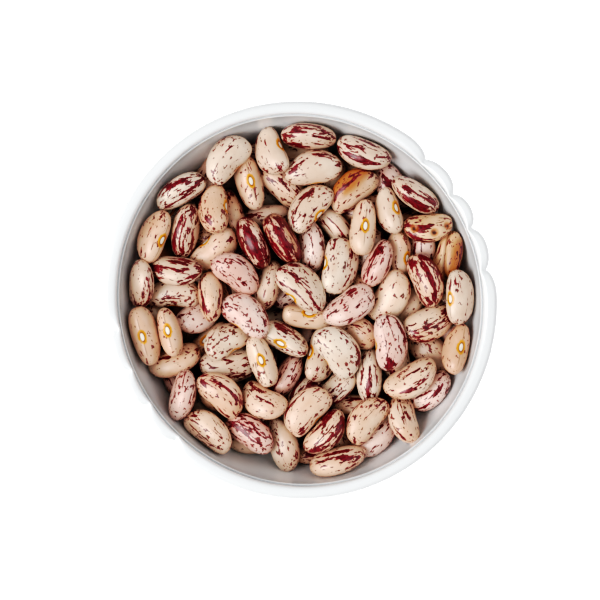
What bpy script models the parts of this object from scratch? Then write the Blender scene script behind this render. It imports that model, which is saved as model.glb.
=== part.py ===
"""A small white porcelain bowl with two scalloped grips, filled with a heap of dried beans.

Metres, +Z up. The origin is the centre of the foot ring's base. The two grips lie on the X axis,
and the mouth is a little narrower there than along Y.
"""

import math
import random

import bmesh
import bpy
import mathutils
from mathutils import Vector

MM = 0.001

# The bowl's driving sizes.
HEIGHT = 48.0 * MM
LIP_RADIUS = 54.6 * MM
MOUTH_RADIUS = 50.4 * MM
FLOOR_LEVEL = 5.5 * MM
WALL = 3.4 * MM
LIP_HALF_HEIGHT = 1.8 * MM

# Share by which the radius shrinks on the grips' axis and grows across it.
MOUTH_OVAL = 0.016
LIP_OVAL = 0.0075

# The foot ring. The underside inside it keeps the wall's thickness.
FOOT_RADIUS = 25.0 * MM
FOOT_WIDTH = 3.6 * MM
FOOT_BEVEL = 0.8 * MM

# The grips: three lobes between four notches, with a rounded shoulder at each end.
INNER_NOTCH = math.radians(6.0)
OUTER_NOTCH = math.radians(19.4)
SHOULDER = math.radians(8.5)
NOTCH_RADIUS = 52.0 * MM
LOBE_RADIUS = 53.75 * MM
GRIP_DEPTH = 13.0 * MM

# The heap of beans. Its uneven edge meets the wall about EDGE_LEVEL, within EDGE_WAVE.
GAP = 0.5 * MM
EDGE_LEVEL = 37.0 * MM
EDGE_WAVE = 2.0 * MM
MOUND_RISE = 2.6 * MM
MOUND_TOP = 36.6 * MM
BEAN_LENGTH = 15.6 * MM
BEAN_WIDTH = 9.4 * MM
BEAN_THICKNESS = 7.6 * MM
BEANS_ON_TOP = 72

# Steps of the turned shapes, and points inside the heap's upper face.
BOWL_STEPS = 90
HEAP_STEPS = 90
HEAP_UNDER_STEPS = 8
HEAP_POINTS = 1150
STEP_CROWDING = 0.5

# The inside of the bowl is the lower half of a spheroid, widest at the mouth.
MOUTH_LEVEL = HEIGHT - LIP_HALF_HEIGHT
INNER_DEPTH = MOUTH_LEVEL - FLOOR_LEVEL


def smooth(share):
    """The share clipped to 0..1 and eased at both ends."""
    share = min(max(share, 0.0), 1.0)
    return share * share * (3 - 2 * share)


def width_at(level, offset):
    """Half width at this level of the bowl's inside grown outwards by offset."""
    share = (MOUTH_LEVEL - level) / (INNER_DEPTH + offset)
    return (MOUTH_RADIUS + offset) * math.sqrt(max(1 - share**2, 0.0))


def curve_point(angle, offset):
    """(radius, level) at this angle up from the lowest point of the inside grown outwards by offset."""
    radius = (MOUTH_RADIUS + offset) * math.sin(angle)
    return radius, MOUTH_LEVEL - (INNER_DEPTH + offset) * math.cos(angle)


def oval(bearing, level):
    """Factor that makes a turned radius oval at the mouth and round at the foot."""
    return 1 - MOUTH_OVAL * math.cos(2 * bearing) * smooth(level / HEIGHT)


def from_grip(bearing):
    """Angle between this bearing and the nearer grip's middle."""
    return abs(math.remainder(bearing, math.pi))


def round_top(share):
    """Height of a plump arch at a share, -1 to 1, of its half width."""
    return (1 - min(abs(share), 1.0) ** 2.2) ** 0.62


def lip_edge(bearing):
    """Outer radius of the lip: plain round the bowl, lobed at the grips."""
    plain = LIP_RADIUS * (1 - LIP_OVAL * math.cos(2 * bearing))
    angle = from_grip(bearing)
    if angle < INNER_NOTCH:
        return NOTCH_RADIUS + (LOBE_RADIUS - NOTCH_RADIUS) * round_top(angle / INNER_NOTCH)
    if angle < OUTER_NOTCH:
        middle = (INNER_NOTCH + OUTER_NOTCH) / 2
        share = (angle - middle) / (OUTER_NOTCH - middle)
        return NOTCH_RADIUS + (LOBE_RADIUS - NOTCH_RADIUS) * round_top(share)
    share = (angle - OUTER_NOTCH) / SHOULDER
    return NOTCH_RADIUS + (plain - NOTCH_RADIUS) * round_top(1 - min(share, 1.0))


def on_lip(bearing, radius):
    """Radius of a lip point, stretched between the oval mouth and the lobed edge."""
    mouth = MOUTH_RADIUS * oval(bearing, HEIGHT)
    share = (radius - MOUTH_RADIUS) / (LIP_RADIUS - MOUTH_RADIUS)
    return mouth + share * (lip_edge(bearing) - mouth)


def on_outside(bearing, radius, level):
    """Radius of a point on the outer wall, with the grips' lobes running down it and fading out."""
    wall = radius * oval(bearing, level)
    window = 1 - smooth((from_grip(bearing) - OUTER_NOTCH) / SHOULDER)
    fade = smooth(1 - (MOUTH_LEVEL - level) / GRIP_DEPTH)
    top_wall = width_at(MOUTH_LEVEL - LIP_HALF_HEIGHT, WALL) * oval(bearing, HEIGHT)
    return wall + window * fade * (lip_edge(bearing) - top_wall)


def on_inside(bearing, radius, level):
    """Radius of a point on the inner wall."""
    return radius * oval(bearing, level)


def inner_profile():
    """(radius, level) up the inside, from the middle of the floor to just under the lip."""
    steps = 10
    widest = math.acos(LIP_HALF_HEIGHT / INNER_DEPTH)
    return [curve_point(widest * i / steps, 0.0) for i in range(steps + 1)]


def lip_profile():
    """(radius, level) over the rounded lip, from the mouth's edge to the outer underside."""
    middle = (LIP_RADIUS + MOUTH_RADIUS) / 2
    half_width = (LIP_RADIUS - MOUTH_RADIUS) / 2
    angles = [math.radians(a) for a in (180, 150, 120, 90, 60, 25, -15, -55)]
    return [
        (middle + half_width * math.cos(a), MOUTH_LEVEL + LIP_HALF_HEIGHT * math.sin(a)) for a in angles
    ]


def outer_profile():
    """(radius, level) down the outside, from under the lip to the middle of the underside."""
    widest = MOUTH_RADIUS + WALL
    highest = math.acos(1.6 * LIP_HALF_HEIGHT / (INNER_DEPTH + WALL))
    lowest = math.asin((FOOT_RADIUS + 1.5 * FOOT_BEVEL) / widest)
    steps = 6
    wall = [curve_point(highest + (lowest - highest) * i / steps, WALL) for i in range(steps + 1)]
    inside_foot = FOOT_RADIUS - FOOT_WIDTH
    foot = [
        (FOOT_RADIUS + 0.3 * FOOT_BEVEL, wall[-1][1] - 1.3 * FOOT_BEVEL),
        (FOOT_RADIUS, FOOT_BEVEL),
        (FOOT_RADIUS - FOOT_BEVEL, 0.0),
        (inside_foot + FOOT_BEVEL, 0.0),
        (inside_foot, FOOT_BEVEL),
    ]
    under = [curve_point(math.asin(inside_foot * share / widest), WALL) for share in (0.97, 0.6, 0.0)]
    return wall + foot + under


def crowded(bearing):
    """The bearing moved towards the nearer grip, where the outline needs more steps."""
    return bearing - STEP_CROWDING / 2 * math.sin(2 * bearing)


def turned(profile, steps, place):
    """A closed bmesh: the profile turned about Z, with each point moved to where place says."""
    bm = bmesh.new()
    station = bm.verts.layers.int.new("station")
    points = [bm.verts.new((radius, 0.0, level)) for radius, level in profile]
    for number, point in enumerate(points):
        point[station] = number
    edges = [bm.edges.new(pair) for pair in zip(points, points[1:])]
    bmesh.ops.spin(
        bm,
        geom=points + edges,
        axis=(0, 0, 1),
        cent=(0, 0, 0),
        dvec=(0, 0, 0),
        angle=math.tau,
        steps=steps,
        use_merge=True,
    )
    bmesh.ops.remove_doubles(bm, verts=bm.verts, dist=0.001 * MM)
    for point in bm.verts:
        bearing = math.atan2(point.co.y, point.co.x)
        point.co = place(bearing, profile[point[station]], point[station])
    bmesh.ops.recalc_face_normals(bm, faces=bm.faces)
    return bm


def add_object(name, bm, material):
    """A smooth-shaded scene object made from a bmesh."""
    mesh = bpy.data.meshes.new(name)
    bm.to_mesh(mesh)
    bm.free()
    mesh.materials.append(material)
    mesh.shade_smooth()
    mesh.set_sharp_from_angle(angle=math.radians(40))
    obj = bpy.data.objects.new(name, mesh)
    bpy.context.scene.collection.objects.link(obj)
    return obj


def plain_material(name, colour, roughness):
    """A Principled BSDF of one colour."""
    material = bpy.data.materials.new(name)
    material.use_nodes = True
    shader = material.node_tree.nodes["Principled BSDF"]
    shader.inputs["Base Color"].default_value = (*colour, 1.0)
    shader.inputs["Roughness"].default_value = roughness
    shader.inputs["Metallic"].default_value = 0.0
    return material


def build_bowl():
    """The porcelain bowl, one closed solid."""
    inner, lip, outer = inner_profile(), lip_profile(), outer_profile()
    profile = inner + lip + outer
    lip_start = len(inner)
    lip_end = lip_start + len(lip)

    def place(bearing, point, number):
        radius, level = point
        bearing = crowded(bearing)
        if number < lip_start:
            radius = on_inside(bearing, radius, level)
        elif number < lip_end:
            radius = on_lip(bearing, radius)
        else:
            radius = on_outside(bearing, radius, level)
        return Vector((radius * math.cos(bearing), radius * math.sin(bearing), level))

    bm = turned(profile, BOWL_STEPS, place)
    return add_object("bowl", bm, plain_material("porcelain", (0.86, 0.87, 0.87), 0.18))


def edge_level(bearing):
    """Level at which the heap's edge meets the wall: three waves of different lengths."""
    waves = math.sin(5 * bearing + 0.7) + 0.8 * math.sin(9 * bearing + 2.1) + 0.5 * math.sin(14 * bearing)
    return EDGE_LEVEL + EDGE_WAVE * waves / 2.3


def mound_level(share):
    """Level of the mound under its top beans, at a share of its radius."""
    return MOUND_TOP + MOUND_RISE * (1 - share**2)


class TopBean:
    """One bean of the heap's upper face: a tilted ellipsoid, more or less sunk into the mound."""

    def __init__(self, number, rng):
        share = math.sqrt((number + 0.5) / BEANS_ON_TOP)
        reach = width_at(EDGE_LEVEL, 0.0) - 0.55 * BEAN_WIDTH
        bearing = number * math.pi * (3 - math.sqrt(5)) + rng.uniform(-0.2, 0.2)
        self.x = reach * share * math.cos(bearing)
        self.y = reach * share * math.sin(bearing)
        heading = rng.uniform(0, math.pi)
        self.along = (math.cos(heading), math.sin(heading))
        self.slope = rng.uniform(-0.2, 0.2)
        self.half_length = BEAN_LENGTH / 2 * rng.uniform(0.92, 1.05)
        self.half_width = rng.uniform(BEAN_THICKNESS, BEAN_WIDTH) / 2
        self.level = mound_level(share) - rng.uniform(0.05, 0.3) * BEAN_THICKNESS

    def top(self, x, y):
        """Level of the bean's upper side over a point, or 0 beside the bean."""
        dx, dy = x - self.x, y - self.y
        along = dx * self.along[0] + dy * self.along[1]
        across = dy * self.along[0] - dx * self.along[1]
        inside = 1 - (along / self.half_length) ** 2 - (across / self.half_width) ** 2
        if inside <= 0:
            return 0.0
        return self.level + self.slope * along + BEAN_THICKNESS / 2 * math.sqrt(inside)


def heap_top(beans, x, y):
    """Level of the heap's uneven upper face over a point."""
    bearing = math.atan2(y, x)
    edge = edge_level(bearing)
    share = min(math.hypot(x, y) / (width_at(edge, -GAP) * oval(bearing, edge)), 1.0)
    level = max([mound_level(share) - 0.25 * BEAN_THICKNESS] + [bean.top(x, y) for bean in beans])
    return level + (edge - level) * smooth((share - 0.86) / 0.14)


def build_heap():
    """The heap of beans, one closed solid out to its uneven outline."""
    rng = random.Random(7)
    beans = [TopBean(number, rng) for number in range(BEANS_ON_TOP)]
    bm = bmesh.new()

    def under_point(bearing, share):
        """A point of the underside, at a share of the arc from its lowest point to its edge."""
        edge = edge_level(bearing)
        angle = math.acos((MOUTH_LEVEL - edge) / (INNER_DEPTH - GAP)) * share
        width, level = curve_point(angle, -GAP)
        width *= oval(bearing, level)
        return Vector((width * math.cos(bearing), width * math.sin(bearing), level))

    bearings = [math.tau * i / HEAP_STEPS for i in range(HEAP_STEPS)]
    rings = []
    for ring in range(1, HEAP_UNDER_STEPS + 1):
        share = ring / HEAP_UNDER_STEPS
        rings.append([bm.verts.new(under_point(bearing, share)) for bearing in bearings])
    lowest = bm.verts.new((0.0, 0.0, FLOOR_LEVEL + GAP))
    for i in range(HEAP_STEPS):
        after = (i + 1) % HEAP_STEPS
        bm.faces.new((lowest, rings[0][after], rings[0][i]))
        for inner, outer in zip(rings, rings[1:]):
            bm.faces.new((inner[i], inner[after], outer[after], outer[i]))

    edge_ring = rings[-1]
    flat = [Vector((point.co.x, point.co.y)) for point in edge_ring]
    for number in range(HEAP_POINTS):
        reach = 0.975 * math.sqrt((number + 0.5) / HEAP_POINTS)
        bearing = number * math.pi * (3 - math.sqrt(5))
        edge = edge_level(bearing)
        width = width_at(edge, -GAP) * oval(bearing, edge) * reach
        flat.append(Vector((width * math.cos(bearing), width * math.sin(bearing))))
    border = [(i, (i + 1) % HEAP_STEPS) for i in range(HEAP_STEPS)]
    made = mathutils.geometry.delaunay_2d_cdt(flat, border, [], 1, 1e-7)
    points, triangles, sources = made[0], made[2], made[3]
    corners = []
    for point, source in zip(points, sources):
        if source[0] < HEAP_STEPS:
            corners.append(edge_ring[source[0]])
        else:
            corners.append(bm.verts.new((point.x, point.y, heap_top(beans, point.x, point.y))))
    for triangle in triangles:
        bm.faces.new([corners[i] for i in triangle])
    bmesh.ops.recalc_face_normals(bm, faces=bm.faces)
    return add_object("bean_heap", bm, plain_material("beans", (0.62, 0.45, 0.36), 0.4))


def main():
    for obj in list(bpy.data.objects):
        bpy.data.objects.remove(obj)
    build_bowl()
    build_heap()


main()
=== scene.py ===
import logging
import math
from dataclasses import dataclass, field
from enum import Enum

import bmesh
import bpy
import numpy as np
from mathutils import Matrix, Vector, noise


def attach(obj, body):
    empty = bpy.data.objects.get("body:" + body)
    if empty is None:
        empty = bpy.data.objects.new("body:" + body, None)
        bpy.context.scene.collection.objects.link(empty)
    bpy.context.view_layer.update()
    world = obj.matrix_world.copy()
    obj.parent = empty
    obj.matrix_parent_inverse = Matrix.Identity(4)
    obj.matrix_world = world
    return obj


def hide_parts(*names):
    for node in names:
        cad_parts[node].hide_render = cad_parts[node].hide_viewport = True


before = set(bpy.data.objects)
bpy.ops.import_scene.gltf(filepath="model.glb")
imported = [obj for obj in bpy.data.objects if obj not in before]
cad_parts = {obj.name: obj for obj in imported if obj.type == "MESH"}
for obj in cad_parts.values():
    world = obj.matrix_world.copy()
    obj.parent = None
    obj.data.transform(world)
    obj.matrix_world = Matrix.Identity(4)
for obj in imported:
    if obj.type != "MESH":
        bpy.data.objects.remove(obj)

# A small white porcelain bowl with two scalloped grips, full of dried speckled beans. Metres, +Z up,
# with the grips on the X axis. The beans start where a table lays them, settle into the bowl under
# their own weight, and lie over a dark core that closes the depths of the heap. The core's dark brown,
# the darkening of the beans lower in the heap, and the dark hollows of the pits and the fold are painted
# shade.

Colour = tuple[float, float, float, float]
Socket = bpy.types.NodeSocket
LOG = logging.getLogger("bowl_of_beans")
MM = 0.001


def linear(red: float, green: float, blue: float) -> Colour:
    """Turn a display colour of 0 to 255 into a linear one.

    Args:
        red: Display red.
        green: Display green.
        blue: Display blue.

    Returns:
        The linear colour with an alpha of 1.
    """
    shares = [level / 255 for level in (red, green, blue)]
    parts = [s / 12.92 if s <= 0.04045 else ((s + 0.055) / 1.055) ** 2.4 for s in shares]
    return (parts[0], parts[1], parts[2], 1.0)


def eased(share: float) -> float:
    """Clip a share to 0..1 and ease it at both ends."""
    share = min(max(share, 0.0), 1.0)
    return share * share * (3 - 2 * share)


class Graph:
    """The node tree of one new material, with its Principled shader."""

    def __init__(self, name: str) -> None:
        """Start a material of this name."""
        self.material = bpy.data.materials.new(name)
        self.material.use_nodes = True
        self.tree = self.material.node_tree
        self.shader = self.tree.nodes["Principled BSDF"]

    def add(self, kind: str, given: dict | None = None, **settings: object) -> bpy.types.Node:
        """Add a node of this kind, with these properties, and inputs given by name or number."""
        node = self.tree.nodes.new(kind)
        for key, value in settings.items():
            setattr(node, key, value)
        for key, value in (given or {}).items():
            self.put(node.inputs[key], value)
        return node

    def put(self, target: Socket, value: object) -> None:
        """Link a socket to the target, or set a plain value on it."""
        if isinstance(value, Socket):
            self.tree.links.new(value, target)
        else:
            target.default_value = value

    def attribute(self, name: str) -> Socket:
        """Read a vector attribute of the mesh."""
        return self.add("ShaderNodeAttribute", attribute_name=name).outputs["Vector"]

    def split(self, vector: Socket) -> list[Socket]:
        """Split a vector into its three numbers."""
        return list(self.add("ShaderNodeSeparateXYZ", {0: vector}).outputs)

    def maths(self, operation: str, *values: object) -> Socket:
        """Combine numbers by one Math node."""
        return self.add("ShaderNodeMath", dict(enumerate(values)), operation=operation).outputs[0]

    def stretched(self, vector: object, scale: tuple[float, float, float]) -> Socket:
        """Multiply a vector by a scale along each axis."""
        return self.add("ShaderNodeVectorMath", {0: vector, 1: scale}, operation="MULTIPLY").outputs[0]

    def noise(self, vector: object, seed: object, scale: float, detail: float = 2.0,
              rough: float = 0.5, distortion: float = 0.0) -> Socket:
        """Read a four-dimensional noise, whose fourth coordinate is the seed.

        Args:
            vector: Where it is read.
            seed: The fourth coordinate.
            scale: Features per unit of the vector.
            detail: Number of finer layers.
            rough: Strength of the finer layers.
            distortion: How far it is pulled about.

        Returns:
            The noise, about 0.5 on average.
        """
        given = {"Vector": vector, "W": seed, "Scale": scale, "Detail": detail}
        given |= {"Roughness": rough, "Distortion": distortion}
        return self.add("ShaderNodeTexNoise", given, noise_dimensions="4D").outputs[0]

    def between(self, value: object, low: object, high: object) -> Socket:
        """Ease a number from 0 at low to 1 at high."""
        given = {"Value": value, "From Min": low, "From Max": high}
        return self.add("ShaderNodeMapRange", given, interpolation_type="SMOOTHSTEP").outputs[0]

    def outside(self, value: object, low: object, high: object) -> Socket:
        """Ease a number from 1 at low to 0 at high."""
        return self.maths("SUBTRACT", 1.0, self.between(value, low, high))

    def times(self, first: object, second: object) -> Socket:
        """Multiply two numbers."""
        return self.maths("MULTIPLY", first, second)

    def line(self, value: object, weight: object, base: object) -> Socket:
        """Multiply a number by a weight and add the base."""
        return self.maths("MULTIPLY_ADD", value, weight, base)

    def swing(self, value: object, weight: float, base: object = 0.0) -> Socket:
        """Add to the base how far a noise is from its middle, times a weight."""
        return self.line(self.maths("SUBTRACT", value, 0.5), weight, base)

    def mixed(self, share: object, first: object, second: object,
              blend: str = "MIX") -> Socket:
        """Mix two colours by a share."""
        given = {0: share, 6: first, 7: second}
        return self.add("ShaderNodeMix", given, data_type="RGBA", blend_type=blend).outputs[2]

    def dress(self, finish: dict[str, object]) -> None:
        """Set or link the shader's inputs by name."""
        for name, value in finish.items():
            self.put(self.shader.inputs[name], value)

    def bump(self, height: object, depth: float) -> None:
        """Raise the surface by a height in metres times depth."""
        node = self.add("ShaderNodeBump", {"Strength": 1.0, "Distance": depth, "Height": height})
        self.dress({"Normal": node.outputs[0]})


def finished(bm: bmesh.types.BMesh, name: str, materials: list[bpy.types.Material]) -> bpy.types.Object:
    """Make a smooth-shaded object of a bmesh and put it in the scene.

    Args:
        bm: The bmesh, which is freed.
        name: Name of the mesh and the object.
        materials: Its materials in order.

    Returns:
        The object.
    """
    for face in bm.faces:
        face.smooth = True
    mesh = bpy.data.meshes.new(name)
    bm.to_mesh(mesh)
    bm.free()
    for material in materials:
        mesh.materials.append(material)
    made = bpy.data.objects.new(name, mesh)
    bpy.context.scene.collection.objects.link(made)
    return made


@dataclass(frozen=True)
class Porcelain:
    """Smooth white glazed porcelain."""

    body: Colour = (0.85, 0.868, 0.88, 1.0)
    pooled: Colour = (0.82, 0.842, 0.86, 1.0)
    roughness: float = 0.2
    coat: float = 0.5

    def material(self) -> bpy.types.Material:
        """Make the glaze: white, a shade cooler where it pools, faintly uneven."""
        graph = Graph("porcelain_glaze")
        place = graph.add("ShaderNodeTexCoord").outputs["Object"]
        broad = graph.noise(place, 1.0, 38.0, 2.0)
        fine = graph.noise(place, 2.0, 260.0, 2.0)
        gloss = graph.swing(fine, 0.08, self.roughness)
        graph.dress({"Base Color": graph.mixed(broad, self.body, self.pooled), "Roughness": gloss})
        graph.dress({"Coat Weight": self.coat, "Coat Roughness": 0.05, "IOR": 1.5})
        graph.bump(graph.maths("ADD", broad, graph.times(fine, 0.12)), 0.00006)
        return graph.material


@dataclass(frozen=True)
class UnglazedFoot:
    """The bare, finely gritty porcelain of the foot ring's underside."""

    colour: Colour = (0.70, 0.68, 0.64, 1.0)
    darker: Colour = (0.60, 0.57, 0.52, 1.0)

    def material(self) -> bpy.types.Material:
        """Make the matt biscuit of the ring the bowl stands on."""
        graph = Graph("porcelain_biscuit")
        place = graph.add("ShaderNodeTexCoord").outputs["Object"]
        grit = graph.noise(place, 3.0, 1800.0, 3.0)
        tone = graph.noise(place, 4.0, 90.0, 2.0)
        gritty = graph.line(grit, 0.2, 0.6)
        graph.dress({"Base Color": graph.mixed(tone, self.colour, self.darker), "Roughness": gritty})
        graph.bump(grit, 0.00005)
        return graph.material


class Kind(Enum):
    """The kinds of bean by their coat."""

    CREAM = "cream"
    ROSE = "rose"
    TAN = "tan"
    MAROON = "maroon"
    AMBER = "amber"
    TOASTED = "toasted"
    BORED = "bored"
    FOLDED = "folded"


@dataclass(frozen=True)
class BeanCoat:
    """The coat of one kind of bean: its ground colours and its markings."""

    kind: Kind
    pale: Colour
    deep: Colour
    streak: Colour = linear(116, 8, 32)
    streak_dark: Colour = linear(72, 3, 16)
    wash: Colour = linear(180, 78, 92)
    ring: Colour = linear(214, 138, 22)
    ring_dark: Colour = linear(120, 62, 12)
    scar: Colour = linear(238, 230, 214)
    back: Colour | None = None
    pits: tuple[tuple[float, float, float], ...] = ()
    fold: float = 0.0
    crisp: float = 0.02
    roughness: float = 0.34

    def dent(self, point: Vector) -> float:
        """How deep the bored pits and the fold are at a point of the bean, in millimetres."""
        depth = sum(0.9 * math.exp(-(((point - Vector(pit)).length / 0.85) ** 2)) for pit in self.pits)
        if self.fold and point.z > 0:
            depth += self.fold * math.exp(-(((point.y + 1.0 - 0.3 * point.x) / 0.6) ** 2))
        return depth

    def damage_and_hollow_shade(self, graph: Graph, place: object, colour: object) -> object:
        """Paint an amber edge round each bored pit, with painted shade in each pit's hollow and along the
        fold's crease.
        """
        for pit in self.pits:
            node = graph.add("ShaderNodeVectorMath", {0: place, 1: pit}, operation="DISTANCE")
            away = node.outputs["Value"]
            edge = graph.outside(away, 0.7, 1.7)
            colour = graph.mixed(graph.times(edge, 0.75), colour, linear(176, 96, 34))
            # Painted shade: the middle of each pit is darkened for the shade in its hollow.
            hole = graph.outside(away, 0.45, 0.85)
            colour = graph.mixed(graph.times(hole, 0.9), colour, linear(52, 20, 12))
        # Painted shade: a darker brown line along the crease of the fold.
        if self.fold:
            x, y, z = graph.split(place)
            off = graph.maths("ADD", graph.line(x, -0.3, 1.0), y)
            line = graph.outside(graph.maths("ABSOLUTE", off), 0.1, 0.7)
            line = graph.times(line, graph.between(z, 0.0, 1.0))
            colour = graph.mixed(graph.times(line, 0.7), colour, linear(112, 58, 30))
        return colour

    def markings(self, graph: Graph, place: object, along: object, amounts: list,
                 ground: object) -> object:
        """Lay the streaks and specks over the ground colour.

        Args:
            graph: The material's graph.
            place: Point in the bean, in millimetres.
            along: The same point with its girth unrolled, so that streaks run end to end.
            amounts: Amount of streaks, amount of specks, and the bean's seed.
            ground: Colour of the coat before its marks.

        Returns:
            The marked colour.
        """
        streaks, specks, seed = amounts
        x, y, _ = graph.split(place)
        broad = graph.noise(graph.stretched(along, (0.12, 0.30, 0.30)), seed, 1.0, 1.0)
        ragged = graph.noise(graph.stretched(along, (1.1, 1.9, 1.9)), seed, 1.0, 2.0, 0.6)
        uneven = graph.swing(ragged, 0.28, graph.swing(broad, 0.42))
        uneven = graph.line(y, -0.008, uneven)
        uneven = graph.line(graph.times(x, x), 0.0006, uneven)
        long_run = graph.noise(graph.stretched(along, (0.16, 0.62, 0.62)), seed, 1.0, 2.0, 0.5, 0.55)
        short_run = graph.noise(graph.stretched(along, (0.36, 0.85, 0.85)), seed, 1.3, 1.0, 0.5, 0.6)
        long_run = graph.maths("ADD", long_run, uneven)
        short_run = graph.line(uneven, 0.6, short_run)
        edge = graph.line(graph.times(streaks, streaks), 0.03, 0.685)
        edge = graph.line(streaks, -0.165, edge)
        low_edge = graph.line(streaks, -0.07, 0.70)
        bold = graph.between(long_run, edge, graph.maths("ADD", edge, self.crisp))
        dash = graph.between(short_run, low_edge, graph.maths("ADD", low_edge, self.crisp))
        soft_edge = graph.maths("SUBTRACT", edge, 0.035)
        soft = graph.between(long_run, soft_edge, graph.maths("ADD", edge, 0.012))
        dots = graph.noise(graph.stretched(place, (0.75, 1.1, 1.1)), seed, 1.0, 1.0, 0.5, 0.3)
        patchy = graph.swing(broad, 0.25, dots)
        low = graph.line(specks, -0.09, 0.672)
        speck = graph.between(patchy, low, graph.maths("ADD", low, self.crisp))
        tone = graph.between(ragged, 0.42, 0.62)
        washed = graph.between(graph.noise(graph.stretched(along, (0.3, 1.5, 1.5)), seed, 2.0), 0.55, 0.7)
        ink = graph.mixed(tone, self.streak, self.streak_dark)
        colour = graph.mixed(graph.times(soft, 0.30), ground, self.wash)
        bold_ink = graph.mixed(graph.times(washed, 0.45), ink, self.wash)
        colour = graph.mixed(graph.maths("MAXIMUM", bold, dash), colour, bold_ink)
        return graph.mixed(graph.times(speck, 0.92), colour, ink)

    def eye(self, graph: Graph, place: object, colour: object) -> object:
        """Paint the white scar, its orange ring and the seam beside it.

        Args:
            graph: The material's graph.
            place: Point in the bean, in millimetres.
            colour: Colour of the marked coat.

        Returns:
            The colour with the eye on it.
        """
        x, y, z = graph.split(place)
        front = graph.between(y, 0.6, 1.4)
        wander = graph.noise(place, 5.0, 1.1, 2.0)

        def oval(length: float, width: float) -> object:
            """Distance from the eye's middle, 1 on this oval."""
            far = graph.maths("POWER", graph.maths("DIVIDE", x, length), 2.0)
            wide = graph.maths("POWER", graph.maths("DIVIDE", z, width), 2.0)
            return graph.maths("SQRT", graph.maths("ADD", far, wide))

        outer = graph.swing(wander, 0.5, oval(2.25, 1.35))
        inner = oval(1.2, 0.58)
        ring = graph.times(graph.outside(outer, 0.78, 1.06), front)
        rim = graph.times(graph.outside(inner, 1.05, 1.5), front)
        scar = graph.times(graph.outside(inner, 0.8, 1.0), front)
        seam_in = graph.outside(graph.maths("ABSOLUTE", z), 0.06, 0.24)
        seam_long = graph.outside(graph.maths("ABSOLUTE", x), 4.2, 6.2)
        seam = graph.times(graph.times(seam_in, seam_long), front)
        colour = graph.mixed(graph.times(seam, 0.55), colour, linear(120, 70, 52))
        colour = graph.mixed(ring, colour, self.ring)
        colour = graph.mixed(graph.times(rim, 0.85), colour, self.ring_dark)
        return graph.mixed(scar, colour, self.scar)

    def ground(self, graph: Graph, place: object, seed: object, tint: list) -> object:
        """Mix the coat's unmarked colour.

        Args:
            graph: The material's graph.
            place: Point in the bean, in millimetres.
            seed: The bean's seed.
            tint: The painted depth shade, which only the material reads, and the bean's own warmth and
                depth of colour.

        Returns:
            The ground colour.
        """
        cloudy = graph.noise(graph.stretched(place, (0.14, 0.2, 0.2)), seed, 1.0, 2.0)
        share = graph.swing(cloudy, 2.4, tint[2])
        colour = graph.mixed(graph.between(share, 0.0, 1.0), self.pale, self.deep)
        if self.back is not None:
            away = graph.split(place)[1]
            colour = graph.mixed(graph.between(away, -0.4, -3.4), colour, self.back)
        return graph.mixed(tint[1], colour, linear(226, 190, 176), "MULTIPLY")

    def material(self) -> bpy.types.Material:
        """Make this coat's satin material."""
        graph = Graph(f"bean_coat_{self.kind.value}")
        place = graph.attribute("bean_place")
        along = graph.attribute("streak_place")
        amounts = graph.split(graph.attribute("bean_marks"))
        tint = graph.split(graph.attribute("painted_depth_shade_and_tint"))
        colour = self.ground(graph, place, amounts[2], tint)
        colour = self.markings(graph, place, along, amounts, colour)
        colour = self.damage_and_hollow_shade(graph, place, self.eye(graph, place, colour))
        # Painted shade: a bean is mixed towards dark brown the lower it lies in the heap, for the shade
        # in the gaps between beans.
        colour = graph.mixed(graph.line(tint[0], -0.7, 0.7), colour, linear(46, 20, 14))
        skin = graph.noise(graph.stretched(place, (1.1, 1.7, 1.7)), amounts[2], 1.0, 3.0, 0.55)
        graph.dress({"Base Color": colour, "Roughness": graph.swing(skin, 0.24, self.roughness)})
        graph.dress({"Coat Weight": 0.25, "Coat Roughness": 0.3, "IOR": 1.46})
        graph.bump(skin, 0.00012)
        return graph.material


COATS = {
    coat.kind: coat
    for coat in (
        BeanCoat(Kind.CREAM, linear(230, 213, 194), linear(212, 184, 162)),
        BeanCoat(Kind.ROSE, linear(230, 203, 191), linear(216, 172, 158)),
        BeanCoat(Kind.TAN, linear(230, 202, 179), linear(214, 173, 145)),
        BeanCoat(Kind.MAROON, linear(226, 197, 180), linear(202, 154, 126)),
        BeanCoat(Kind.AMBER, linear(204, 150, 106), linear(158, 100, 60)),
        BeanCoat(Kind.TOASTED, linear(230, 207, 187), linear(218, 182, 154), back=linear(176, 112, 60)),
        BeanCoat(Kind.BORED, linear(230, 202, 170), linear(216, 178, 140),
                 pits=((-4.4, -1.5, 2.3), (1.1, -3.2, 2.1), (5.2, -1.2, 1.9))),
        BeanCoat(Kind.FOLDED, linear(230, 198, 164), linear(214, 172, 134),
                 back=linear(170, 114, 66), fold=0.6),
    )
}


@dataclass(frozen=True)
class Lay:
    """One bean as it is laid: its middle, how it is turned, and its marks.

    X and Y are in millimetres. The heading is the way its long axis points, in degrees, with the eye
    on its left. The roll is 0 with a flat side up, 90 with the eye up and -90 with the back up. The
    tilt raises its front end. Layer 1 is on top.
    """

    x: float
    y: float
    heading: float
    roll: float
    tilt: float
    layer: int
    length: float
    kind: Kind
    streaks: float
    specks: float


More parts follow.
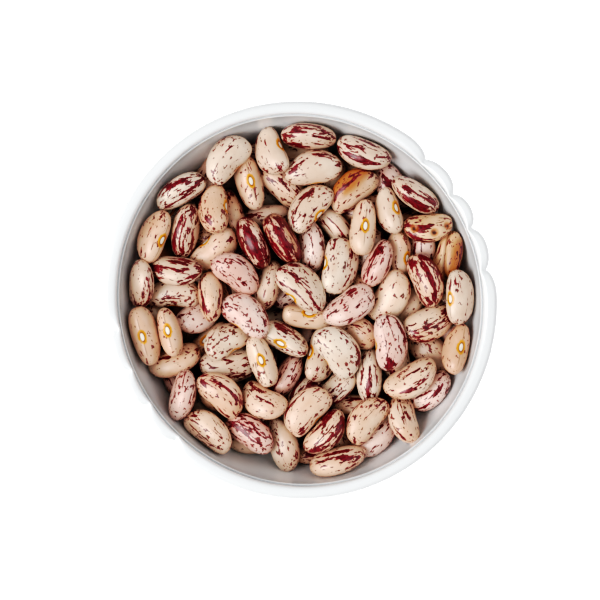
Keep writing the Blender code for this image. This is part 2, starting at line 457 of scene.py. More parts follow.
LAID_TABLE = """
-14.5 41.8 173 -50 5 1 15.4 cream .8 .2
-8.6 45.6 6 -30 0 2 14.6 maroon .8 .5
0.9 44.2 199 -15 8 1 15.4 cream .5 .5
0.9 38.9 351 0 0 3 14.1 tan .3 .4
-28.1 36.4 212 30 0 1 15.4 tan .2 .25
-18.9 31.6 243 -65 0 1 15.7 cream .9 .2
-9.0 34.0 241 10 35 1 14.6 tan .5 .8
-3.5 28.5 261 -80 0 2 14.6 tan .6 .3
-14.8 22.9 10 22 0 1 15.4 tan .15 .3
-25.7 29.9 1 -20 0 3 14.6 amber .1 .1
-26.2 23.5 336 -55 5 1 14.9 cream 1.0 .1
-30.9 17.8 154 -5 0 1 15.2 cream .35 1.0
-38.0 25.9 23 -10 12 1 14.6 cream .5 .3
-44.7 12.6 259 75 0 1 16.8 tan .2 .15
-38.1 9.0 247 85 8 1 14.1 tan .2 .2
-33.7 7.6 261 -30 0 3 14.6 amber .2 .1
-27.5 9.6 351 -20 0 2 14.6 rose .15 .2
-21.0 12.1 62 -80 0 1 14.6 tan .6 .3
-11.2 15.6 111 -20 5 1 15.2 rose .4 .5
-14.9 3.6 111 8 0 1 15.4 rose .5 .9
-27.6 2.4 21 75 5 2 14.6 tan .4 .5
-22.0 -0.1 186 -15 15 1 14.1 cream .2 1.0
-19.5 -3.7 31 30 0 3 14.1 tan .4 .3
-38.2 1.1 343 -50 0 2 15.4 tan .2 .3
-41.4 -7.8 51 -75 0 1 14.6 rose .2 1.0
-43.0 -0.8 341 -20 0 3 13.5 amber .1 .1
-44.6 -4.8 66 -30 0 3 13.5 rose .5 .5
-25.6 -6.1 339 -30 0 1 16.8 cream .5 .5
-32.2 -12.9 121 -20 0 1 15.4 tan .7 .3
-25.6 -12.4 126 -40 0 3 14.1 rose .9 .3
-36.6 -14.4 301 -20 0 3 13.5 cream .1 .3
-40.1 -20.6 123 -25 0 1 15.4 tan .5 .7
-30.8 -25.3 126 -10 5 1 15.4 rose .6 1.0
-34.2 -27.4 306 -20 0 3 13.5 tan .1 .1
25.3 39.8 327 -80 0 1 15.7 cream .8 .1
13.6 40.1 253 40 25 1 14.6 cream .5 .1
8.8 42.4 51 -30 0 3 13.5 maroon .9 .5
4.2 34.4 249 82 0 1 15.7 tan .35 .2
21.5 31.7 179 3 0 1 16.3 cream .8 .3
35.3 27.6 306 -60 0 1 16.3 cream .8 .5
11.0 29.4 101 -30 0 2 15.4 tan .9 .2
25.6 23.6 256 30 0 2 14.6 tan .2 .7
15.2 22.0 193 30 4 1 15.7 cream .5 .4
28.2 18.4 184 -30 0 1 15.7 toasted .6 .2
30.8 23.8 1 -20 0 3 13.5 tan .1 .2
4.5 25.7 341 -60 0 2 13.5 maroon .6 .6
-3.2 19.7 79 -65 5 1 15.4 maroon 1.6 .3
3.3 17.1 286 -60 8 1 15.7 maroon 1.4 .5
9.8 11.0 65 -75 3 1 15.4 rose .4 .9
18.5 12.3 66 -60 10 2 13.5 cream .6 .2
24.5 9.3 43 80 3 1 15.7 tan .4 .2
14.2 2.3 59 15 0 1 16.3 cream .15 .5
-5.4 7.6 43 -40 0 2 15.2 cream .3 .5
1.7 3.1 103 8 3 1 16.8 cream .7 .4
-3.2 .7 46 0 0 3 13.5 rose .8 .5
-1.1 -5.5 317 55 0 2 14.6 tan .1 .1
-8.1 -7.1 123 35 5 1 15.2 cream .8 .3
-18.3 -9.1 248 85 0 1 15.2 tan .5 .6
11.5 -8.0 13 -35 4 1 15.7 rose .4 .3
7.4 -1.0 256 -20 0 3 14.1 maroon .9 .3
9.9 -14.4 141 -20 0 2 14.6 tan .1 .3
3.2 -17.7 101 -20 8 1 16.3 cream .4 .5
-3.2 -16.8 61 15 0 2 15.2 cream .5 .2
-12.5 -15.8 49 -75 0 2 15.2 rose .8 .2
-10.8 -23.1 193 -30 0 2 14.6 cream 1.0 .4
-1.8 -25.8 31 -50 20 2 13.5 cream .5 .8
-23.3 -20.3 311 -25 45 1 14.6 tan .4 .4
-17.0 -25.1 311 -50 0 3 14.1 cream .3 .1
-23.7 -32.1 89 -45 0 1 16.0 cream .1 .4
-13.3 -29.9 186 5 0 1 15.7 tan .5 .3
-10.6 -36.6 21 -30 0 2 14.9 tan 1.2 .4
-17.9 -38.9 1 -40 0 3 13.5 tan .5 .5
-10.3 -45.0 13 -30 8 1 16.3 tan .4 .3
-0.4 -37.8 211 -10 5 1 15.2 tan .5 .9
-2.7 -31.0 346 -30 0 3 14.1 tan .3 .2
6.0 -27.2 243 -75 0 1 15.7 cream .6 .1
41.2 16.3 306 -40 0 2 15.7 rose .7 .6
42.3 7.7 319 -55 0 1 15.7 cream .7 .2
33.2 9.6 251 35 5 1 13.5 cream .2 .1
35.3 5.9 31 -60 0 2 14.6 tan .9 .2
41.7 .4 334 -40 0 1 14.1 bored .9 .3
23.8 1.8 41 -30 0 2 14.1 maroon .5 .8
32.2 -1.9 251 20 0 2 14.6 tan .3 .3
38.9 -4.5 51 -50 25 2 14.1 rose .7 .8
43.9 -5.6 71 -40 0 3 13.5 rose .8 .3
42.6 -11.0 26 -40 0 1 14.6 folded .4 .2
24.4 -2.4 26 -75 0 1 14.1 rose .6 .1
22.6 -10.9 23 -20 0 1 15.7 tan .3 .2
26.7 -16.0 41 -20 0 3 14.1 tan .3 .2
33.4 -12.7 99 -30 0 1 15.7 tan 1.1 .5
40.4 -21.3 66 6 0 1 15.7 cream .6 .2
28.2 -23.2 356 8 0 1 15.7 tan .6 .5
33.5 -32.9 53 85 0 1 14.6 tan .2 .2
17.1 -21.5 61 6 4 1 15.7 rose .7 .3
13.8 -18.2 71 -20 0 3 13.5 tan .1 .1
25.8 -32.8 111 -20 8 1 15.4 cream .3 .6
31.5 -28.2 311 -30 0 3 13.5 rose .7 .3
19.9 -27.2 11 -30 0 3 14.1 amber .1 .1
15.9 -37.9 356 -20 5 1 16.3 tan .4 .5
20.7 -40.9 346 -30 0 2 14.6 rose .8 .4
9.4 -32.6 256 -60 0 3 14.9 tan .7 .3
15.8 -30.7 41 -50 0 3 13.5 tan .5 .2
9.0 -44.7 256 -40 10 2 14.9 tan .6 .5
0.3 -44.4 26 -30 0 2 15.7 rose .3 .2
"""


def laid_beans() -> tuple[Lay, ...]:
    """Read the table: x, y, heading, roll, tilt, layer, length, kind, streaks, specks."""
    rows = []
    for line in LAID_TABLE.split("\n")[1:-1]:
        x, y, heading, roll, tilt, layer, length, kind, *marks = line.split()
        place = [float(word) for word in (x, y, heading, roll, tilt)]
        rows.append(Lay(*place, int(layer), float(length), Kind(kind), *map(float, marks)))
    return tuple(rows)


LAID = laid_beans()


@dataclass
class Bowl:
    """The porcelain bowl: a half spheroid inside, a rounded lip, two lobed grips and a foot ring."""

    height: float = 48.0 * MM
    lip_radius: float = 54.6 * MM
    mouth_radius: float = 50.4 * MM
    floor_level: float = 5.5 * MM
    wall: float = 3.4 * MM
    lip_half_height: float = 1.8 * MM
    mouth_oval: float = 0.016
    lip_oval: float = 0.0075
    foot_radius: float = 25.0 * MM
    foot_width: float = 3.6 * MM
    foot_bevel: float = 0.8 * MM
    inner_notch: float = math.radians(6.0)
    outer_notch: float = math.radians(19.4)
    shoulder: float = math.radians(8.5)
    inner_notch_radius: float = 50.9 * MM
    outer_notch_radius: float = 51.8 * MM
    lobe_radius: float = 53.75 * MM
    grip_depth: float = 13.0 * MM
    groove: float = 0.5 * MM
    notch_drop: float = 1.3 * MM
    lip_curl: float = math.radians(32)
    lip_squareness: float = 2.7
    sharp: float = math.radians(50)
    steps: int = 288
    crowding: float = 0.5
    mouth_level: float = field(init=False)
    depth: float = field(init=False)

    def __post_init__(self) -> None:
        """Work out the mouth's level and the depth of the inside."""
        self.mouth_level = self.height - self.lip_half_height
        self.depth = self.mouth_level - self.floor_level

    def oval(self, bearing: float, level: float) -> float:
        """Factor that makes a radius oval at the mouth and round at the foot."""
        return 1 - self.mouth_oval * math.cos(2 * bearing) * eased(level / self.height)

    def width_at(self, level: float, offset: float) -> float:
        """Half width at this level of the inside grown outwards by offset."""
        share = (self.mouth_level - level) / (self.depth + offset)
        return (self.mouth_radius + offset) * math.sqrt(max(1 - share**2, 0.0))

    def curve(self, angle: float, offset: float) -> tuple[float, float]:
        """(radius, level) at this angle up from the lowest point of the inside grown by offset."""
        radius = (self.mouth_radius + offset) * math.sin(angle)
        return radius, self.mouth_level - (self.depth + offset) * math.cos(angle)

    def notch(self, bearing: float) -> tuple[float, float]:
        """Outline of the lip.

        Args:
            bearing: Direction round the bowl, in radians.

        Returns:
            The lip's outer radius, and how near a notch the bearing lies, 0 to 1.
        """
        plain = self.lip_radius * (1 - self.lip_oval * math.cos(2 * bearing))
        angle = abs(math.remainder(bearing, math.pi))
        if angle < self.inner_notch:
            low, high = self.inner_notch_radius, self.lobe_radius - 0.2 * MM
            share = angle / self.inner_notch
        elif angle < self.outer_notch:
            middle = (self.inner_notch + self.outer_notch) / 2
            share = (angle - middle) / (self.outer_notch - middle)
            low = self.inner_notch_radius if share < 0 else self.outer_notch_radius
            high = self.lobe_radius
        else:
            share = 1 - min((angle - self.outer_notch) / self.shoulder, 1.0)
            low, high = self.outer_notch_radius, plain
        share = min(abs(share), 1.0)
        arch = (1 - share**2.2) ** 0.62
        return low + (high - low) * arch, 0.45 * share**2 + 0.55 * (1 - arch)

    def placed(self, bearing: float, radius: float, level: float, part: str) -> Vector:
        """Where a point of the turned profile goes.

        Args:
            bearing: Direction round the bowl, in radians.
            radius: Radius in the profile.
            level: Level in the profile.
            part: Which stretch of the profile it is on: inside, lip or outside.

        Returns:
            The point.
        """
        edge, depth = self.notch(bearing)
        if part == "inside":
            radius *= self.oval(bearing, level)
        elif part == "lip":
            mouth = self.mouth_radius * self.oval(bearing, self.height)
            share = (radius - self.mouth_radius) / (self.lip_radius - self.mouth_radius)
            radius = mouth + share * (edge - mouth)
            level -= self.notch_drop * depth * eased(share * 1.35 + 0.1)
        else:
            top = self.width_at(self.mouth_level - self.lip_half_height, self.wall)
            angle = abs(math.remainder(bearing, math.pi))
            window = 1 - eased((angle - self.outer_notch) / self.shoulder)
            fade = eased(1 - (self.mouth_level - level) / self.grip_depth)
            swell = edge - top * self.oval(bearing, self.height)
            radius = radius * self.oval(bearing, level) + window * fade * swell
        return Vector((radius * math.cos(bearing), radius * math.sin(bearing), level))

    def profile(self) -> list[tuple[float, float, str]]:
        """The bowl's section, (radius, level, part), from the floor's middle over the lip to below."""
        curl = self.lip_curl
        inner = self.mouth_radius + self.groove
        middle = (self.lip_radius + inner) / 2
        half = (self.lip_radius - inner) / 2
        crease = self.mouth_level - self.lip_half_height * math.sin(curl)
        widest = math.acos((self.mouth_level - crease) / self.depth)
        section = []
        for step in range(37):
            section.append((*self.curve(widest * step / 36, 0.0), "inside"))
        groove = ((0.04, 0.12), (0.14, 0.16), (0.26, 0.06), (0.4, -0.25), (0.55, -0.4), (0.68, -0.2))
        for across, up in groove:
            section.append((section[36][0] + across * MM, crease + up * MM, "inside"))
        for step in range(25):
            angle = math.pi + curl - (math.pi + curl + math.radians(58)) * step / 24
            across, up = math.cos(angle), math.sin(angle)
            power = self.lip_squareness
            squared = (abs(across) ** power + abs(up) ** power) ** (1 / power)
            level = self.mouth_level + self.lip_half_height * up / squared
            section.append((middle + half * across / squared, level, "lip"))
        outer = self.mouth_radius + self.wall
        highest = math.acos(1.75 * self.lip_half_height / (self.depth + self.wall))
        lowest = math.asin((self.foot_radius + 1.7 * self.foot_bevel) / outer)
        for step in range(25):
            angle = highest + (lowest - highest) * step / 24
            section.append((*self.curve(angle, self.wall), "outside"))
        meet = section[-1][1]
        bevel = self.foot_bevel
        ring_in = self.foot_radius - self.foot_width
        for across, drop in ((0.75, 0.75), (0.25, 1.6), (0.0, 2.8)):
            section.append((self.foot_radius + across * bevel, meet - drop * bevel, "outside"))
        rounding = ((0.0, 1.4), (0.12, 0.62), (0.45, 0.15), (1.0, 0.0))
        for across, up in rounding:
            section.append((self.foot_radius - across * bevel, up * bevel, "outside"))
        for across, up in reversed(rounding):
            section.append((ring_in + across * bevel, up * bevel, "outside"))
        for share in (0.985, 0.95, 0.85, 0.7, 0.5, 0.25, 0.0):
            section.append((*self.curve(math.asin(ring_in * share / outer), self.wall), "outside"))
        return section

    def build(self) -> bpy.types.Object:
        """Turn the section about Z, then press the lobes into it.

        Returns:
            The bowl's object.
        """
        section = self.profile()
        bm = bmesh.new()
        station = bm.verts.layers.int.new("station")
        points = [bm.verts.new((radius, 0.0, level)) for radius, level, _ in section]
        for number, point in enumerate(points):
            point[station] = number
        edges = [bm.edges.new(pair) for pair in zip(points, points[1:])]
        bmesh.ops.spin(bm, geom=points + edges, axis=(0, 0, 1), cent=(0, 0, 0), dvec=(0, 0, 0),
                       angle=math.tau, steps=self.steps, use_merge=True)
        bmesh.ops.remove_doubles(bm, verts=bm.verts, dist=0.001 * MM)
        for point in bm.verts:
            bearing = math.atan2(point.co.y, point.co.x)
            bearing -= self.crowding / 2 * math.sin(2 * bearing)
            radius, level, part = section[point[station]]
            point.co = self.placed(bearing, radius, level, part)
        bmesh.ops.recalc_face_normals(bm, faces=bm.faces)
        bm.verts.layers.int.remove(station)
        for face in bm.faces:
            standing = max(point.co.z for point in face.verts) < 0.25 * self.foot_bevel
            face.material_index = 1 if standing else 0
        bowl = finished(bm, "porcelain_bowl", [Porcelain().material(), UnglazedFoot().material()])
        bowl.data.set_sharp_from_angle(angle=self.sharp)
        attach(bowl, "root")
        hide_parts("bowl")
        return bowl


@dataclass
class Settling:
    """Beans that settle against each other, the bowl and the core, each as a cluster of eight balls.

    Lengths are in millimetres. Each round lowers every bean a little, draws the laid ones towards
    their places, and then pushes apart whatever overlaps.
    """

    half: np.ndarray
    bend: np.ndarray
    middle: np.ndarray
    turn: np.ndarray
    hold: np.ndarray
    mouth_radius: float
    mouth_level: float
    depth: float
    core_top: float
    core_fall: float
    core_reach: float
    mouth_oval: float
    highest: float = 42.6
    wall_gap: float = 0.15
    easing: float = 0.85
    most_spin: float = 0.08
    rounds: int = 1800

    def __post_init__(self) -> None:
        """Lay out the balls of every bean and their spread."""
        self.aim = self.middle.copy()
        self.aim_turn = self.turn.copy()
        rows = ((-0.62, 0, 0.82), (0.62, 0, 0.82), (-0.35, -1, 0.966), (-0.35, 1, 0.966))
        rows += ((0.35, -1, 0.966), (0.35, 1, 0.966), (0, -1, 1), (0, 1, 1))
        balls = []
        sizes = []
        for far, side, size in rows:
            across = side * (self.half[:, 1] - self.half[:, 2]) * size + self.bend * (far**2 * 1.6 - 0.25)
            balls.append(np.stack([far * self.half[:, 0], across, np.zeros(len(across))], 1))
            sizes.append(size * self.half[:, 2])
        self.balls = np.stack(balls, 1)
        self.sizes = np.stack(sizes, 1)
        count = self.balls.shape[1]
        spread = np.einsum("nki,nki->n", self.balls, self.balls)[:, None, None] * np.eye(3)
        spread -= np.einsum("nki,nkj->nij", self.balls, self.balls)
        self.spread = spread + np.eye(3) * (count * 0.4 * self.half[:, 2] ** 2)[:, None, None]

    @staticmethod
    def turned_by(vectors: np.ndarray) -> np.ndarray:
        """Rotation matrices of rotation vectors."""
        angle = np.linalg.norm(vectors, axis=1)
        axis = vectors / np.maximum(angle, 1e-12)[:, None]
        cross = np.zeros((len(vectors), 3, 3))
        cross[:, 0, 1], cross[:, 0, 2], cross[:, 1, 2] = -axis[:, 2], axis[:, 1], -axis[:, 0]
        cross[:, 1, 0], cross[:, 2, 0], cross[:, 2, 1] = axis[:, 2], -axis[:, 1], axis[:, 0]
        sine = np.sin(angle)[:, None, None]
        return np.eye(3) + sine * cross + (1 - np.cos(angle))[:, None, None] * (cross @ cross)

    def neighbours(self) -> tuple[np.ndarray, np.ndarray]:
        """Pairs of beans near enough to touch."""
        gaps = self.middle[:, None] - self.middle[None]
        reach = self.half[:, 0][:, None] + self.half[:, 0][None] + 1.0
        return np.where(np.triu(np.sqrt((gaps**2).sum(2)) < reach, 1))

    def press(self, pairs: tuple[np.ndarray, np.ndarray], push: float) -> None:
        """Push apart what overlaps, once.

        Args:
            pairs: Pairs of beans near each other.
            push: How strongly each overlap is undone.
        """
        first, second = pairs
        place = self.middle[:, None, :] + np.einsum("nij,nkj->nki", self.turn, self.balls)
        away = place[first][:, :, None, :] - place[second][:, None, :, :]
        far = np.sqrt((away**2).sum(3)) + 1e-9
        over = self.sizes[first][:, :, None] + self.sizes[second][:, None, :] - far
        pair, one, two = np.where(over > 0)
        shift = 0.5 * (over[pair, one, two] / far[pair, one, two])[:, None] * away[pair, one, two]
        moves = np.zeros_like(place)
        hits = np.zeros(place.shape[:2])
        for beans, balls, way in ((first, one, shift), (second, two, -shift)):
            np.add.at(moves, (beans[pair], balls), way)
            np.add.at(hits, (beans[pair], balls), 1)
        room = self.sizes + self.wall_gap
        widths = [self.mouth_radius * (1 + side * self.mouth_oval) for side in (-1, 1)]
        reach = np.stack([far - room for far in (*widths, self.depth)], 2)
        inside = place - np.array([0, 0, self.mouth_level])
        inside[:, :, 2] = np.minimum(inside[:, :, 2], 0)
        share = np.sqrt(((inside / reach) ** 2).sum(2)) + 1e-9
        slope = inside / reach**2 / share[:, :, None]
        steep = np.sqrt((slope**2).sum(2)) + 1e-9
        over = (share - 1) / steep
        hit = (over > 0) & (place[:, :, 2] < self.mouth_level + 3)
        moves -= slope / steep[:, :, None] * (over * hit)[:, :, None]
        hits += hit
        wide = place[:, :, 0] ** 2 + place[:, :, 1] ** 2
        over = self.core_top - wide / self.core_reach**2 * self.core_fall + self.sizes - place[:, :, 2]
        hit = (over > 0) & (wide < (self.core_reach + 1) ** 2)
        moves[:, :, 2] += over * hit
        hits += hit
        moves /= np.maximum(hits, 1)[:, :, None]
        touched = np.maximum((hits > 0).sum(1), 1)
        arm = place - self.middle[:, None]
        twist = np.cross(arm, moves).sum(1)
        spread = self.turn @ self.spread @ np.transpose(self.turn, (0, 2, 1))
        spin = np.linalg.solve(spread, twist[:, :, None])[:, :, 0]
        spin *= (place.shape[1] / touched)[:, None] * 0.6
        turned = np.maximum(np.linalg.norm(spin, axis=1), 1e-9)
        spin *= np.minimum(1, self.most_spin / turned)[:, None]
        self.middle += moves.sum(1) / touched[:, None] * push * 0.8
        self.turn = self.turned_by(spin * push * 0.6) @ self.turn

    def run(self) -> None:
        """Settle the beans."""
        for number in range(self.rounds):
            if number % 10 == 0:
                pairs = self.neighbours()
            if number % 50 == 0:
                left, _, right = np.linalg.svd(self.turn)
                self.turn = left @ right
            share = number / self.rounds
            easing = share < self.easing
            fall = 0.06 * (1 - share) + 0.01 if easing else 0.004
            draw = 0.10 * (1 - share) + 0.02 if easing else 0.004
            right_turn = 0.06 * (1 - share) + 0.015 if easing else 0.002
            top = self.middle[:, 2] + np.sqrt((self.turn[:, 2, :] ** 2 * self.half**2).sum(1))
            self.middle[:, 2] -= fall + np.clip((top - self.highest) * 0.04, 0, 0.15)
            drift = (self.aim[:, :2] - self.middle[:, :2]) * (draw * self.hold)[:, None]
            self.middle[:, :2] += drift
            off = self.aim_turn @ np.transpose(self.turn, (0, 2, 1))
            turns = ((1, 2), (2, 0), (0, 1))
            axis = np.stack([off[:, two, one] - off[:, one, two] for one, two in turns], 1)
            self.turn = self.turned_by(axis * 0.5 * (right_turn * self.hold)[:, None]) @ self.turn
            self.press(pairs, 1.6 if easing else 1.2)


@dataclass
class Bean:
    """One bean: its sizes in millimetres, its place, and its marks."""

    half: tuple[float, float, float]
    bend: float
    kind: Kind
    streaks: float
    specks: float
    seed: float
    tint: tuple[float, float]
    middle: np.ndarray
    turn: np.ndarray
    lumps: float = 0.0416
    blunt: float = 2.2
    taper: float = 0.05

    def shaped(self, point: Vector) -> tuple[Vector, Vector]:
        """Shape one point of a round ball into the bean.

        Args:
            point: The point on a ball of radius 1.

        Returns:
            The point in the bean, and the same with its girth unrolled for the streaks.
        """
        length, width, thick = self.half
        along, across, up = point
        girth = math.sqrt(max(across**2 + up**2, 1e-12))
        fuller = (1 - min(abs(along), 1.0) ** self.blunt) ** (1 / self.blunt) / max(girth, 1e-6)
        plump = 1 + self.taper * along
        y = width * across * fuller * plump
        z = thick * up * fuller * plump
        y += self.bend * (along**2 * 1.6 - 0.25)
        if across > 0:
            y -= 0.34 * across * math.exp(-((along / 0.30) ** 2))
        shape = Vector((length * along, y, z))
        lump = noise.noise(Vector((along * 1.3 + self.seed, across * 1.1, up * 1.1)))
        shape *= 1 + self.lumps * lump - COATS[self.kind].dent(shape) / max(shape.length, 1.0)
        pinch = (0.35 + 0.65 * min(girth * 1.15, 1.0)) / max(girth, 1e-6)
        unrolled = Vector((length * math.asin(max(min(along, 1.0), -1.0)) / 1.3,
                           width * across * pinch, thick * 1.25 * up * pinch))
        return shape, unrolled

    def add_to(self, bm: bmesh.types.BMesh, layers: dict, fineness: int) -> None:
        """Add the bean to a mesh.

        Args:
            bm: The mesh of its kind.
            layers: The mesh's four vector attributes by name.
            fineness: Subdivisions of the ball it is shaped from.
        """
        made = bmesh.ops.create_icosphere(bm, subdivisions=fineness, radius=1.0)
        turn = Matrix([list(row) for row in self.turn])
        middle = Vector([float(part) for part in self.middle])
        for vert in made["verts"]:
            shape, unrolled = self.shaped(vert.co)
            vert[layers["bean_place"]] = shape
            vert[layers["streak_place"]] = unrolled
            vert[layers["bean_marks"]] = (self.streaks, self.specks, self.seed)
            place = turn @ shape + middle
            # Painted shade: the first number falls from 1 at 37 mm to 0 at 25 mm, so lower parts of the
            # heap are painted darker.
            vert[layers["painted_depth_shade_and_tint"]] = (eased((place.z - 25.0) / 12.0), *self.tint)
            vert.co = place * MM


@dataclass
class BeanHeap:
    """The heap: the laid beans, those under them, and the dark core beneath, whose colour is painted
    shade.
    """

    bowl: Bowl
    filling: int = 52
    filling_reach: float = 41.0
    width_share: float = 0.615
    thick_share: float = 0.46
    core_top: float = 22.0
    core_fall: float = 1.0
    core_reach: float = 43.0
    seed: int = 5

    @staticmethod
    def facing(heading: float, roll: float, tilt: float) -> np.ndarray:
        """Rotation that lays a bean with this heading, roll and tilt, in degrees."""
        h, r, t = (math.radians(angle) for angle in (heading, roll, tilt))
        yaw = np.array([[math.cos(h), -math.sin(h), 0], [math.sin(h), math.cos(h), 0], [0, 0, 1]])
        pitch = np.array([[math.cos(t), 0, -math.sin(t)], [0, 1, 0], [math.sin(t), 0, math.cos(t)]])
        bank = np.array([[1, 0, 0], [0, math.cos(r), -math.sin(r)], [0, math.sin(r), math.cos(r)]])
        return yaw @ pitch @ bank

    def beans(self) -> list[Bean]:
        """Lay out the beans before they settle."""
        rng = np.random.default_rng(self.seed)
        made = []
        for lay in LAID:
            half = lay.length / 2
            width = half * self.width_share * rng.uniform(0.96, 1.04)
            sizes = (half, width, half * self.thick_share * rng.uniform(0.95, 1.05))
            reach = min(math.hypot(lay.x, lay.y) / 46, 1.0)
            level = 36.0 + 3.5 * (1 - reach**2) - 5.0 * (lay.layer - 1)
            made.append(
                Bean(sizes, rng.uniform(0.07, 0.14) * half, lay.kind, lay.streaks, lay.specks,
                     rng.uniform(0, 40), (rng.uniform(0.0, 0.35), rng.uniform(0.2, 0.8)),
                     np.array([lay.x, lay.y, level]), self.facing(lay.heading, lay.roll, lay.tilt),
                     blunt=rng.uniform(2.05, 2.6), taper=rng.uniform(-0.11, 0.11))
            )
        plain = (Kind.CREAM, Kind.TAN, Kind.ROSE, Kind.TAN)
        for number in range(self.filling):
            half = 7.6 * rng.uniform(0.9, 1.03)
            reach = math.sqrt((number + 0.5) / self.filling) * self.filling_reach
            bearing = number * math.pi * (3 - math.sqrt(5))
            place = (reach * math.cos(bearing), reach * math.sin(bearing), 26.0 + 3 * (number % 2))
            made.append(
                Bean((half, half * self.width_share, half * self.thick_share), 0.10 * half,
                     plain[number % 4], rng.uniform(0.1, 0.8), rng.uniform(0.1, 0.8), rng.uniform(0, 40),
                     (rng.uniform(0.0, 0.35), rng.uniform(0.2, 0.8)),
                     np.array(place), self.facing(rng.uniform(0, 360), rng.uniform(-60, 60), 0))
            )
        return made

    def settle(self, beans: list[Bean]) -> None:
        """Let the beans settle in the bowl and note where they come to rest."""
        holds = {1: 1.0, 2: 0.45, 3: 0.15}
        settling = Settling(
            half=np.array([bean.half for bean in beans]),
            bend=np.array([bean.bend for bean in beans]),
            middle=np.array([bean.middle for bean in beans]),
            turn=np.array([bean.turn for bean in beans]),
            hold=np.array([holds[lay.layer] for lay in LAID] + [0.0] * self.filling),
            mouth_oval=self.bowl.mouth_oval,
            **{name: getattr(self.bowl, name) / MM for name in ("mouth_radius", "mouth_level", "depth")},
            **{name: getattr(self, name) for name in ("core_top", "core_fall", "core_reach")},
        )
        settling.run()
        for bean, middle, turn in zip(beans, settling.middle, settling.turn):
            bean.middle = middle
            bean.turn = turn

    def piece(self, kind: Kind, beans: list[Bean]) -> bpy.types.Object:
        """Join the beans of one kind into one piece.

        Args:
            kind: The kind of bean.
            beans: The beans of that kind.

        Returns:
            The piece.
        """
        bm = bmesh.new()
        names = ("bean_place", "streak_place", "bean_marks", "painted_depth_shade_and_tint")
        layers = {name: bm.verts.layers.float_vector.new(name) for name in names}
        for bean in beans:
            bean.add_to(bm, layers, 5 if len(beans) < 3 else 4)
        return finished(bm, f"beans_{kind.value}", [COATS[kind].material()])

    def core(self) -> bpy.types.Object:
        """Make the dark core under the beans: a lumpy dome that fills the bowl's depths, its dark brown
        painted shade for the shaded beans below.
        """
        bm = bmesh.new()
        bmesh.ops.create_icosphere(bm, subdivisions=5, radius=1.0)
        bowl = self.bowl
        for vert in bm.verts:
            x, y, z = vert.co
            share = math.hypot(x, y)
            reach = self.core_reach * MM * share
            steep = math.sqrt(1 - (reach / (bowl.mouth_radius - 1.0 * MM)) ** 2)
            under = bowl.mouth_level - (bowl.depth - 0.6 * MM) * steep
            over = (self.core_top - share**2 * self.core_fall - 0.4) * MM
            over += 0.7 * MM * noise.noise(Vector((x, y, 0.0)) * 5.0)
            over = max(over, under + 0.2 * MM)
            wide = self.core_reach * MM
            vert.co = (x * wide, y * wide, under + (over - under) * (z + 1) / 2)
        graph = Graph("heap_core_painted_shade")
        place = graph.add("ShaderNodeTexCoord").outputs["Object"]
        tone = graph.noise(place, 9.0, 150.0, 2.0)
        # Painted shade: dark browns that stand in for the shaded depths of the heap.
        colour = graph.mixed(tone, linear(92, 54, 40), linear(44, 22, 18))
        graph.dress({"Base Color": colour, "Roughness": graph.line(tone, 0.2, 0.7)})
        return finished(bm, "heap_core", [graph.material])

    def build(self) -> list[bpy.types.Object]:
        """Settle the beans, and make a piece of each kind and the core.

        Returns:
            The pieces.
        """
        beans = self.beans()
        self.settle(beans)
        pieces = [self.piece(kind, [bean for bean in beans if bean.kind is kind]) for kind in Kind
                  if any(bean.kind is kind for bean in beans)]
        pieces.append(self.core())
        for piece in pieces:
            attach(piece, "root")
            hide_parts("bean_heap")
        return pieces


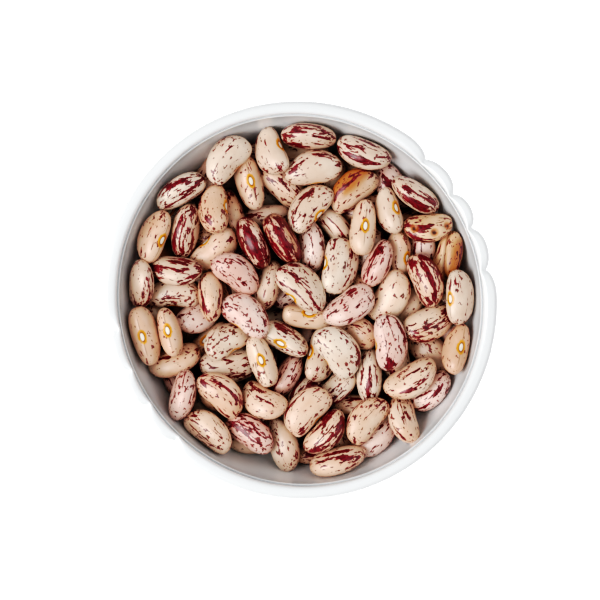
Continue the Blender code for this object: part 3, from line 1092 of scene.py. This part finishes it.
@dataclass
class Studio:
    """The white floor, the soft lights and the camera straight above."""

    grip_bearing: float = math.radians(28.75)
    view_width: float = 165.0 * MM
    camera_height: float = 0.65
    lamp_distance: float = 0.9
    lamp_colour: tuple[float, float, float] = (1.0, 1.0, 0.99)
    sky: float = 0.36
    floor_reach: float = 3.0
    tone: tuple[tuple[float, float], ...] = (
        (0.041, 0.013), (0.114, 0.088), (0.279, 0.364), (0.474, 0.584), (0.631, 0.718), (0.847, 0.885)
    )

    def camera(self, rim: float) -> None:
        """Set the camera over the bowl's middle, above a rim at this level."""
        data = bpy.data.cameras.new("camera")
        data.sensor_width = 36.0
        data.lens = 36.0 * self.camera_height / self.view_width
        data.clip_start = 0.01
        camera = bpy.data.objects.new("camera", data)
        camera.location = (0.0, 0.0, rim + self.camera_height)
        camera.rotation_euler = (0.0, 0.0, -self.grip_bearing)
        bpy.context.scene.collection.objects.link(camera)
        bpy.context.scene.camera = camera

    def lamp(self, name: str, bearing: float, height: float, size: float, power: float) -> None:
        """Hang a soft square lamp aimed at the bowl.

        Args:
            name: The lamp's name.
            bearing: Where it stands, anticlockwise from the view's right, in radians.
            height: Its angle above the floor, in radians.
            size: The length of its side.
            power: Its power in watts.
        """
        data = bpy.data.lights.new(name, "AREA")
        data.size = size
        data.energy = power
        data.color = self.lamp_colour
        lamp = bpy.data.objects.new(name, data)
        turned = bearing - self.grip_bearing
        flat = math.cos(height)
        aim = Vector((math.cos(turned) * flat, math.sin(turned) * flat, math.sin(height)))
        lamp.location = aim * self.lamp_distance + Vector((0, 0, 0.03))
        lamp.rotation_euler = aim.to_track_quat("Z", "Y").to_euler()
        bpy.context.scene.collection.objects.link(lamp)

    def floor(self) -> None:
        """Lay the white floor, and round it a white dome that only the camera sees."""
        graph = Graph("white_floor")
        graph.dress({"Base Color": (0.95, 0.95, 0.95, 1.0), "Roughness": 0.9, "Specular IOR Level": 0.0})
        graph.dress({"Emission Color": (1.0, 1.0, 1.0, 1.0), "Emission Strength": 1.0})
        for name in ("floor", "backdrop"):
            bm = bmesh.new()
            if name == "floor":
                bmesh.ops.create_grid(bm, x_segments=1, y_segments=1, size=self.floor_reach)
            else:
                bmesh.ops.create_uvsphere(bm, u_segments=48, v_segments=24, radius=self.floor_reach)
            made = finished(bm, name, [graph.material])
            made.visible_diffuse = False
            made.visible_glossy = made.visible_shadow = name == "floor"

    def finish_tone(self) -> None:
        """Set the view's contrast: deeper shadows and fuller middle tones."""
        view = bpy.context.scene.view_settings
        view.view_transform = "Standard"
        view.look = "None"
        view.use_curve_mapping = True
        curve = view.curve_mapping.curves[3]
        for given, shown in self.tone:
            curve.points.new(given, shown)
        view.curve_mapping.update()

    def build(self, rim: float) -> None:
        """Set up the floor, the sky, the lamps and the camera."""
        self.floor()
        world = bpy.data.worlds.new("studio")
        world.use_nodes = True
        background = world.node_tree.nodes["Background"]
        background.inputs["Color"].default_value = (1.0, 1.0, 1.0, 1.0)
        background.inputs["Strength"].default_value = self.sky
        bpy.context.scene.world = world
        self.lamp("key", math.radians(200), math.radians(46), size=0.6, power=7.5)
        self.lamp("fill", math.radians(20), math.radians(44), size=1.0, power=2.3)
        self.camera(rim)
        self.finish_tone()


def main() -> None:
    """Build the bowl, its beans and the studio, and report each piece."""
    logging.basicConfig(level=logging.INFO, format="%(name)s: %(message)s")
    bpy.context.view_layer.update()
    bowl = Bowl()
    pieces = [bowl.build()]
    pieces += BeanHeap(bowl).build()
    for piece in pieces:
        LOG.info("%s: %d faces", piece.name, len(piece.data.polygons))
    Studio().build(bowl.height)


if __name__ == "__main__":
    main()
